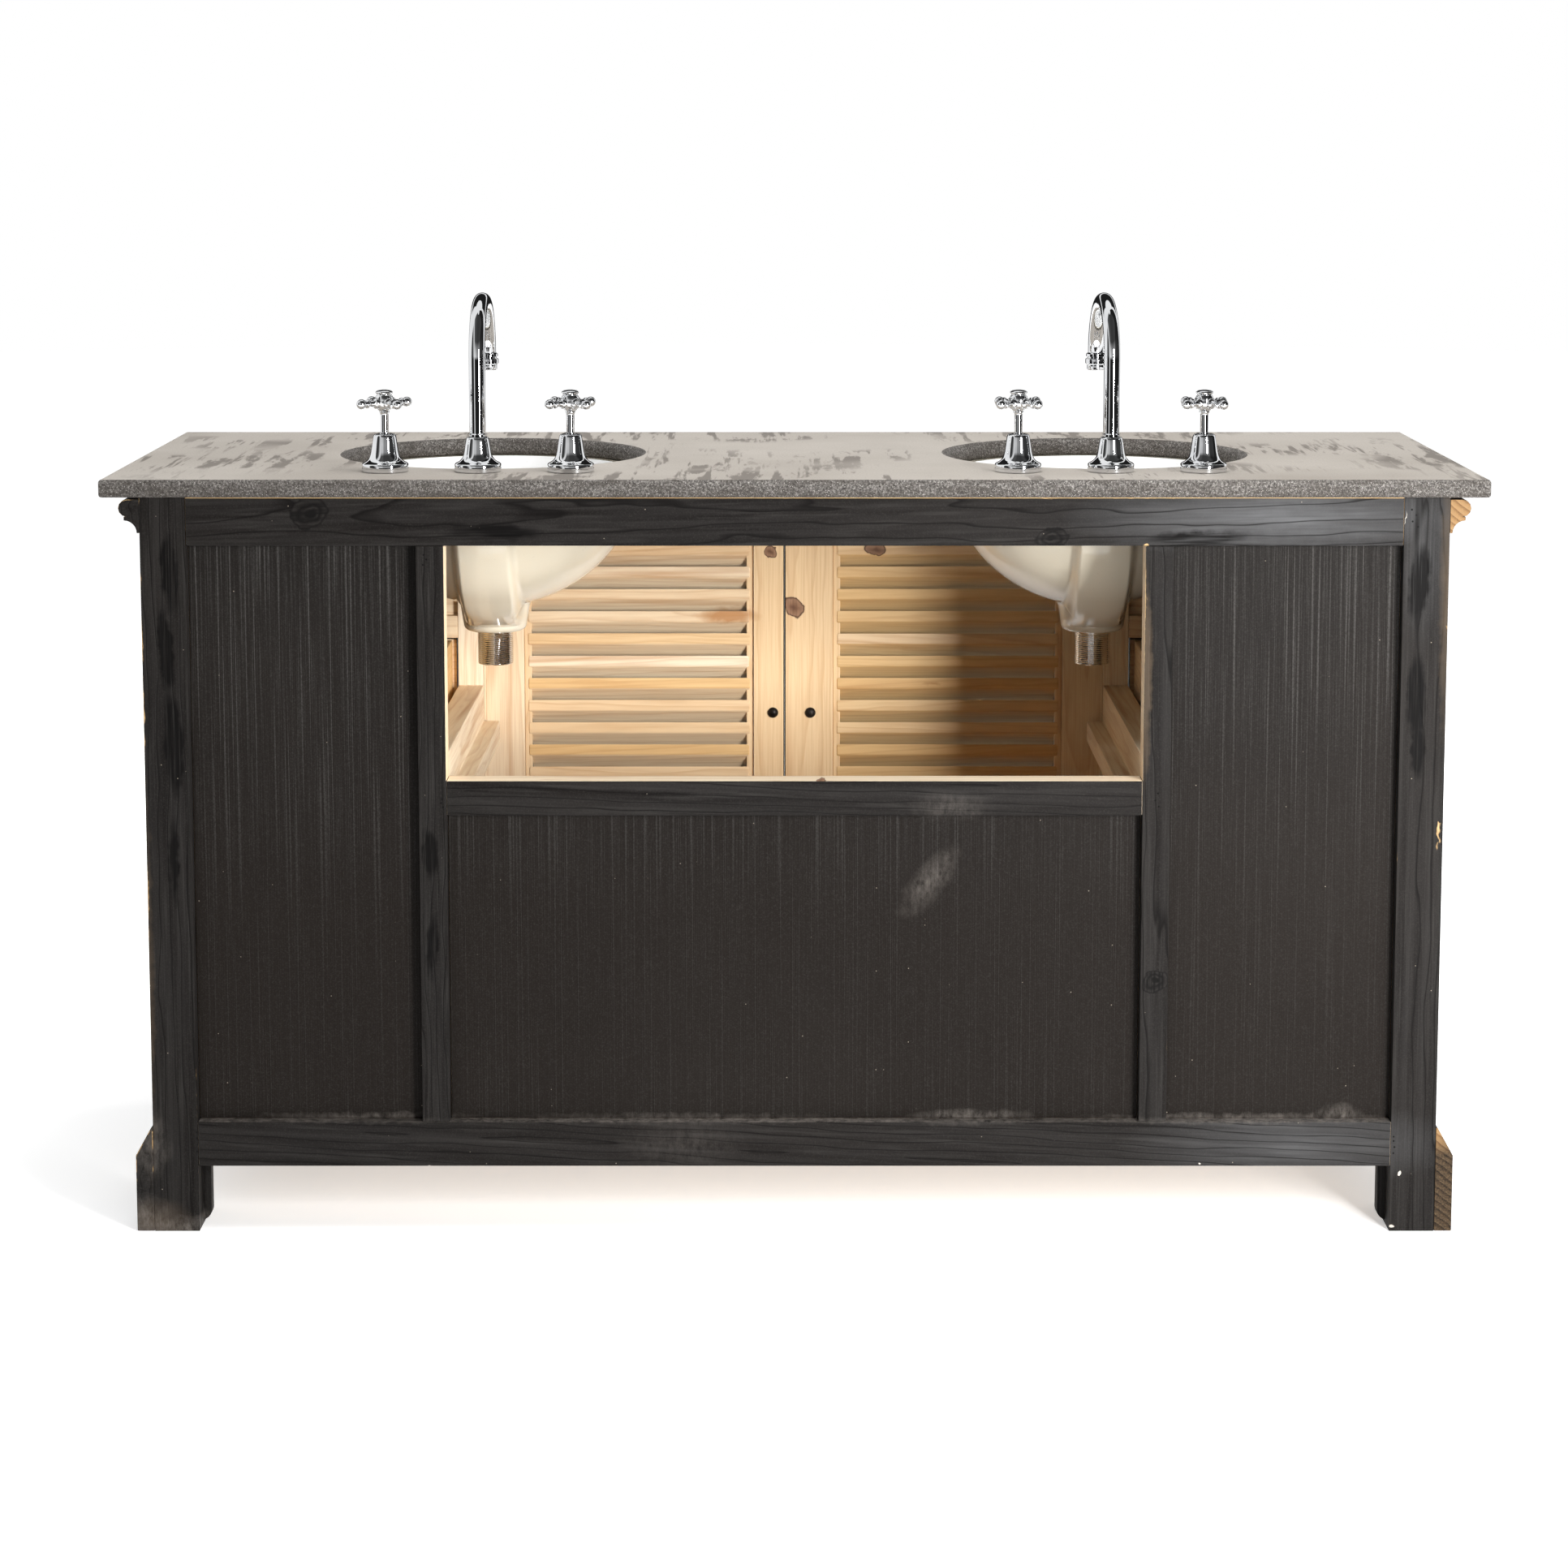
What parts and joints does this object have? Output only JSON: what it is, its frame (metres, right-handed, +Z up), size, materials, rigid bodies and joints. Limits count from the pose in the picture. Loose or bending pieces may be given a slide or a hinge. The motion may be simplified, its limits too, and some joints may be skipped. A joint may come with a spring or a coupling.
{
  "type": "double bathroom vanity",
  "caption": "Freestanding black pine vanity with a stone top, round undermount basins, gooseneck taps, louvre doors and drawers, its back left open for the plumbing",
  "frame": {"origin": "on the floor, under the middle of the stone top", "axes": "+X to the right of a person at the basins, +Y from the front to the wall side, +Z up"},
  "size_m": [1.52, 0.55, 1.046],
  "materials": {
    "painted_pine": "worn satin black paint on pine",
    "raw_pine": "bare sanded pine",
    "stone": "honed streaked limestone",
    "ceramic": "gloss ivory glaze",
    "chrome": "polished chrome plate",
    "iron": "dark bronzed iron"
  },
  "bodies": {
    "cabinet": {"apron_left": "painted_pine", "apron_right": "painted_pine", "basin_left": "ceramic", "basin_right": "ceramic", "crown_moulding": "painted_pine", "drawer_web_left": "raw_pine", "drawer_web_right": "raw_pine", "floor_board": "raw_pine", "front_bottom_rail": "painted_pine", "front_post_left": "painted_pine", "front_post_right": "painted_pine", "front_stile_left": "painted_pine", "front_stile_right": "painted_pine", "front_top_rail": "painted_pine", "hinge_lower_left": "iron", "hinge_lower_right": "iron", "hinge_upper_left": "iron", "hinge_upper_right": "iron", "partition_rail_left": "raw_pine", "partition_rail_right": "raw_pine", "plinth": "painted_pine", "rear_bottom_rail": "painted_pine", "rear_middle_rail": "painted_pine", "rear_panel_left": "painted_pine", "rear_panel_lower": "painted_pine", "rear_panel_right": "painted_pine", "rear_post_left": "painted_pine", "rear_post_right": "painted_pine", "rear_stile_left": "painted_pine", "rear_stile_right": "painted_pine", "rear_top_rail": "painted_pine", "side_panel_left": "painted_pine", "side_panel_right": "painted_pine", "spout_base_left": "chrome", "spout_base_right": "chrome", "stone_top": "stone", "tap_base_cold_left": "chrome", "tap_base_cold_right": "chrome", "tap_base_hot_left": "chrome", "tap_base_hot_right": "chrome", "waste_left": "chrome", "waste_right": "chrome"},
    "door_left": {"door_left": "raw_pine", "door_knob_left": "iron"},
    "drawer_upper_left": {"drawer_upper_left": "painted_pine", "drawer_knob_upper_left": "iron"},
    "drawer_lower_left": {"drawer_lower_left": "painted_pine", "drawer_knob_lower_left": "iron"},
    "tap_handle_hot_left": {"tap_handle_hot_left": "chrome"},
    "tap_handle_cold_left": {"tap_handle_cold_left": "chrome"},
    "spout_left": {"spout_left": "chrome"},
    "door_right": {"door_right": "raw_pine", "door_knob_right": "iron"},
    "drawer_upper_right": {"drawer_upper_right": "painted_pine", "drawer_knob_upper_right": "iron"},
    "drawer_lower_right": {"drawer_lower_right": "painted_pine", "drawer_knob_lower_right": "iron"},
    "tap_handle_hot_right": {"tap_handle_hot_right": "chrome"},
    "tap_handle_cold_right": {"tap_handle_cold_right": "chrome"},
    "spout_right": {"spout_right": "chrome"}
  },
  "joints": [
    {"name": "door_left_hinge", "type": "hinge", "parent": "cabinet", "child": "door_left", "pos_m": [-0.38375, -0.2456, 0.451], "axis": [0, 0, -1], "range_deg": [0, 90]},
    {"name": "door_right_hinge", "type": "hinge", "parent": "cabinet", "child": "door_right", "pos_m": [0.38375, -0.2456, 0.451], "axis": [0, 0, 1], "range_deg": [0, 90]},
    {"name": "drawer_upper_left_slide", "type": "slide", "parent": "cabinet", "child": "drawer_upper_left", "axis": [0, -1, 0], "range_m": [0, 0.3]},
    {"name": "drawer_lower_left_slide", "type": "slide", "parent": "cabinet", "child": "drawer_lower_left", "axis": [0, -1, 0], "range_m": [0, 0.3]},
    {"name": "drawer_upper_right_slide", "type": "slide", "parent": "cabinet", "child": "drawer_upper_right", "axis": [0, -1, 0], "range_m": [0, 0.3]},
    {"name": "drawer_lower_right_slide", "type": "slide", "parent": "cabinet", "child": "drawer_lower_right", "axis": [0, -1, 0], "range_m": [0, 0.3]},
    {"name": "tap_handle_hot_left_turn", "type": "hinge", "parent": "cabinet", "child": "tap_handle_hot_left", "pos_m": [-0.4565, 0.189, 0.925], "axis": [0, 0, 1], "range_deg": [0, 90]},
    {"name": "tap_handle_cold_left_turn", "type": "hinge", "parent": "cabinet", "child": "tap_handle_cold_left", "pos_m": [-0.2495, 0.189, 0.925], "axis": [0, 0, 1], "range_deg": [-90, 0]},
    {"name": "spout_left_swivel", "type": "hinge", "parent": "cabinet", "child": "spout_left", "pos_m": [-0.353, 0.189, 0.95], "axis": [0, 0, 1], "range_deg": [-60, 60]},
    {"name": "tap_handle_hot_right_turn", "type": "hinge", "parent": "cabinet", "child": "tap_handle_hot_right", "pos_m": [0.2495, 0.189, 0.925], "axis": [0, 0, 1], "range_deg": [0, 90]},
    {"name": "tap_handle_cold_right_turn", "type": "hinge", "parent": "cabinet", "child": "tap_handle_cold_right", "pos_m": [0.4565, 0.189, 0.925], "axis": [0, 0, 1], "range_deg": [-90, 0]},
    {"name": "spout_right_swivel", "type": "hinge", "parent": "cabinet", "child": "spout_right", "pos_m": [0.353, 0.189, 0.95], "axis": [0, 0, 1], "range_deg": [-60, 60]}
  ]
}
